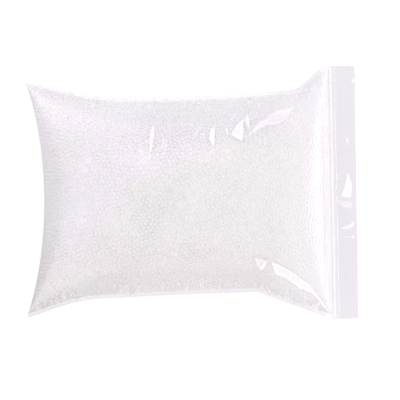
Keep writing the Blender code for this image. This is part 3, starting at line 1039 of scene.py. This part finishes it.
def film_material():
    """Clear film with a lilac cast, glossy towards its edges, with a deeper tint where it is thicker
    and as painted shade at the welded edges, and white where marked as painted sheen.
    """
    material = bpy.data.materials.new("clear_film")
    tree = Tree(material)
    facing = tree.add("ShaderNodeLayerWeight", inputs={"Blend": 0.5}, output=1)
    # The deep tint: the film's own on the lips, and painted shade at the welded edges
    thick = tree.add("ShaderNodeAttribute", {"attribute_name": "thick"}, output=2)
    place = tree.add("ShaderNodeTexCoord", output=3)
    crinkle = tree.add(
        "ShaderNodeTexNoise", inputs={"Vector": place, "Scale": 500.0, "Detail": 2.0}
    )
    normal = tree.add(
        "ShaderNodeBump", inputs={"Strength": 0.2, "Distance": 0.2 * MM, "Height": crinkle}
    )
    clear = tree.add("ShaderNodeBsdfTransparent", inputs={"Color": CLEAR_FILM})
    deep = tree.add("ShaderNodeBsdfTransparent", inputs={"Color": DEEP_FILM})
    tinted = tree.add("ShaderNodeMixShader", inputs={0: thick, 1: clear, 2: deep})
    veil = tree.add(
        "ShaderNodeBsdfPrincipled",
        inputs={"Base Color": VEIL_COLOUR, "Roughness": 0.4, "Normal": normal},
    )
    shine = tree.add(
        "ShaderNodeBsdfPrincipled",
        inputs={
            "Base Color": (1, 1, 1, 1),
            "Metallic": 1.0,
            "Roughness": 0.12,
            "Normal": normal,
        },
    )
    body = tree.add("ShaderNodeMixShader", inputs={0: VEIL, 1: tinted, 2: veil})
    shininess = SHINE_FACING + SHINE_AT_EDGES * facing**3
    glossy = tree.add("ShaderNodeMixShader", inputs={0: shininess, 1: body, 2: shine})
    # Painted sheen: white laid over the film where marked, for its soft shine
    haze = tree.add("ShaderNodeAttribute", {"attribute_name": "haze"}, output=2)
    painted_sheen_bsdf = tree.add(
        "ShaderNodeBsdfPrincipled", inputs={"Base Color": PAINTED_SHEEN_COLOUR, "Roughness": 0.4}
    )
    film = tree.add("ShaderNodeMixShader", inputs={0: haze, 1: glossy, 2: painted_sheen_bsdf})
    tree.add("ShaderNodeOutputMaterial", inputs={"Surface": film})
    return material


def place_along(tree, place, direction):
    """How far a place lies along a direction."""
    inputs = {0: place, 1: direction}
    return tree.add("ShaderNodeVectorMath", {"operation": "DOT_PRODUCT"}, inputs, output=1)


def share_within(tree, place, *edges):
    """0 to 1 as a place comes within every one of these edges."""
    share = 1.0
    for edge in edges:
        across = place_along(tree, place, edge.direction)
        share = share * tree.smoothstep(across, edge.start * MM, edge.full * MM)
    return share


def blended(tree, share, first, second, blend="MIX"):
    """A colour laid over another one, by this share."""
    settings = {"data_type": "RGBA", "blend_type": blend}
    return tree.add("ShaderNodeMix", settings, {0: share, 6: first, 7: second}, output=2)


def warmth(tree, place):
    """The share of the warmer tone at a place: the middle, the lower right and the lower ear."""
    from_left = share_within(tree, place, WARM_LEFT_EDGE)
    in_ear = share_within(tree, place, WARM_EAR_EDGE)
    return from_left.larger(in_ear) * share_within(tree, place, *WARM_OTHER_EDGES)


def painted_highlight_material():
    """A facet's painted highlight: white where marked, warmer in the lower half, and clear elsewhere.
    """
    material = bpy.data.materials.new("film_painted_highlight")
    tree = Tree(material)
    glint = tree.add("ShaderNodeAttribute", {"attribute_name": "glint"}, output=2)
    place = tree.add("ShaderNodeTexCoord", output=3)
    warm = share_within(tree, place, *WARM_FACET_HIGHLIGHT_EDGES)
    tone = blended(tree, warm, FACET_HIGHLIGHT_COLOUR, WARM_FACET_HIGHLIGHT_COLOUR)
    clear = tree.add("ShaderNodeBsdfTransparent")
    white = tree.add("ShaderNodeBsdfPrincipled", inputs={"Base Color": tone, "Roughness": 0.3})
    shine = tree.add("ShaderNodeMixShader", inputs={0: glint, 1: clear, 2: white})
    tree.add("ShaderNodeOutputMaterial", inputs={"Surface": shine})
    return material


def bead_material():
    """White expanded foam, matt, with the faint cells of its skin, its tones and painted shade over
    them.
    """
    material = bpy.data.materials.new("foam_beads")
    tree = Tree(material)
    place = tree.add("ShaderNodeTexCoord", output=3)
    cells = tree.add("ShaderNodeTexVoronoi", inputs={"Vector": place, "Scale": 4000.0})
    normal = tree.add(
        "ShaderNodeBump", inputs={"Strength": 0.15, "Distance": 0.05 * MM, "Height": cells}
    )
    tone = blended(tree, warmth(tree, place), COOL_BEADS, WARM_BEADS)
    # Painted shade laid over the tones in turn
    for over in PAINTED_BEAD_SHADES:
        share = share_within(tree, place, *over.edges)
        tone = blended(tree, share, tone, over.colour, over.blend)
    foam = tree.add(
        "ShaderNodeBsdfPrincipled", inputs={"Base Color": tone, "Roughness": 0.6, "Normal": normal}
    )
    tree.add("ShaderNodeOutputMaterial", inputs={"Surface": foam})
    return material


def closure_material():
    """The closure's strips: clear moulded polythene, white where the rib makes the plastic thicker,
    and that white also a painted highlight along the rib.
    """
    material = bpy.data.materials.new("clear_closure")
    tree = Tree(material)
    place = tree.add("ShaderNodeTexCoord", output=3)
    across = place_along(tree, place, (1, MOUTH_SKEW / HALF_WIDTH, 0))
    middle = BAG_START + BODY_LENGTH + CLOSURE_LENGTH / 2
    rib = tree.smoothstep((across - middle).size(), *RIB_EDGE)
    # On the rib the white is partly the plastic's own and partly a painted highlight
    whiteness_and_highlight = STRIP_WHITE + (RIB_WHITE_AND_HIGHLIGHT - STRIP_WHITE) * rib
    clear = tree.add("ShaderNodeBsdfTransparent", inputs={"Color": STRIP_COLOUR})
    solid = tree.add(
        "ShaderNodeBsdfPrincipled", inputs={"Base Color": STRIP_COLOUR, "Roughness": 0.15}
    )
    strip = tree.add("ShaderNodeMixShader", inputs={0: whiteness_and_highlight, 1: clear, 2: solid})
    tree.add("ShaderNodeOutputMaterial", inputs={"Surface": strip})
    return material


def dress_closure():
    """The closure's strips keep the model's shape and take the moulded finish."""
    material = closure_material()
    for name in ("zip_rib_strip", "zip_groove_strip"):
        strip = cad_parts[name]
        strip.data.materials.clear()
        strip.data.materials.append(material)


def build_floor():
    """A white floor that glows evenly to the camera, and with painted light and shade to everything
    else.
    """
    bm = bmesh.new()
    bmesh.ops.create_grid(bm, x_segments=1, y_segments=1, size=FLOOR_SIZE)
    mesh = bpy.data.meshes.new("floor")
    bm.to_mesh(mesh)
    bm.free()
    material = bpy.data.materials.new("white_floor")
    tree = Tree(material)
    seen = tree.add("ShaderNodeLightPath")
    matt = tree.add("ShaderNodeBsdfDiffuse", inputs={"Color": FLOOR_COLOUR})
    place = tree.add("ShaderNodeTexCoord", output=3)
    # Painted light and shade: the glow that lights the bag is brighter to the right and the top and
    # dimmer at the lower left, where the bag's shadow would fall
    painted_glow = FLOOR_GLOW + RIGHTWARD_PAINTED_GLOW * share_within(tree, place, RIGHTWARD_EDGE)
    painted_glow = painted_glow + UPWARD_PAINTED_GLOW * share_within(tree, place, UPWARD_EDGE)
    strength = painted_glow + (FLOOR_SEEN - painted_glow) * seen
    glow = tree.add("ShaderNodeEmission", inputs={"Color": (1, 1, 1, 1), "Strength": strength})
    both = tree.add("ShaderNodeAddShader", inputs={0: matt, 1: glow})
    tree.add("ShaderNodeOutputMaterial", inputs={"Surface": both})
    mesh.materials.append(material)
    floor = bpy.data.objects.new("floor", mesh)
    bpy.context.scene.collection.objects.link(floor)


def build_surround():
    """A pale surround that is a little brighter towards the right and one upper corner."""
    world = bpy.data.worlds.new("studio")
    bpy.context.scene.world = world
    tree = Tree(world)
    direction = tree.add("ShaderNodeTexCoord")
    lean = place_along(tree, direction, SURROUND_LEAN)
    height = tree.add("ShaderNodeSeparateXYZ", inputs={0: direction}, output=2)
    corner = tree.smoothstep(place_along(tree, direction, CORNER), *CORNER_SPREAD)
    strength = SURROUND_LIGHT + lean * (1 - height) + CORNER_LIGHT * corner
    surround = tree.add(
        "ShaderNodeBackground", inputs={"Color": (1, 1, 1, 1), "Strength": strength}
    )
    tree.add("ShaderNodeOutputWorld", inputs={"Surface": surround})


def build_panel():
    """A low, soft light beside the closure, which brightens the slope towards it."""
    lamp = bpy.data.lights.new("right_panel", "AREA")
    lamp.shape = "RECTANGLE"
    lamp.size, lamp.size_y = PANEL_SIZE
    lamp.energy = PANEL_POWER
    panel = bpy.data.objects.new("right_panel", lamp)
    panel.location = PANEL_PLACE
    towards = Vector(PANEL_TARGET) - Vector(PANEL_PLACE)
    panel.rotation_euler = towards.to_track_quat("-Z", "Y").to_euler()
    bpy.context.scene.collection.objects.link(panel)


def build_studio():
    """The floor, the surround and the light, and how they are shown."""
    build_floor()
    build_surround()
    build_panel()
    bpy.context.scene.view_settings.view_transform = "Standard"
    bpy.context.scene.cycles.transparent_max_bounces = 32


def build_camera():
    """Looks straight down, as the photograph does."""
    data = bpy.data.cameras.new("camera")
    data.lens = LENS
    data.sensor_width = SENSOR
    width = PHOTO_PIXELS * PIXEL
    camera = bpy.data.objects.new("camera", data)
    camera.location = (*VIEW_CENTRE, SEAM_HEIGHT + LENS / SENSOR * width)
    bpy.context.scene.collection.objects.link(camera)
    bpy.context.scene.camera = camera


def main():
    build_camera()
    build_studio()
    centres = packed_beads()
    upper_film = build_film(film_material(), centres)
    build_facets(painted_highlight_material(), upper_film)
    build_beads(bead_material(), centres)
    dress_closure()


main()
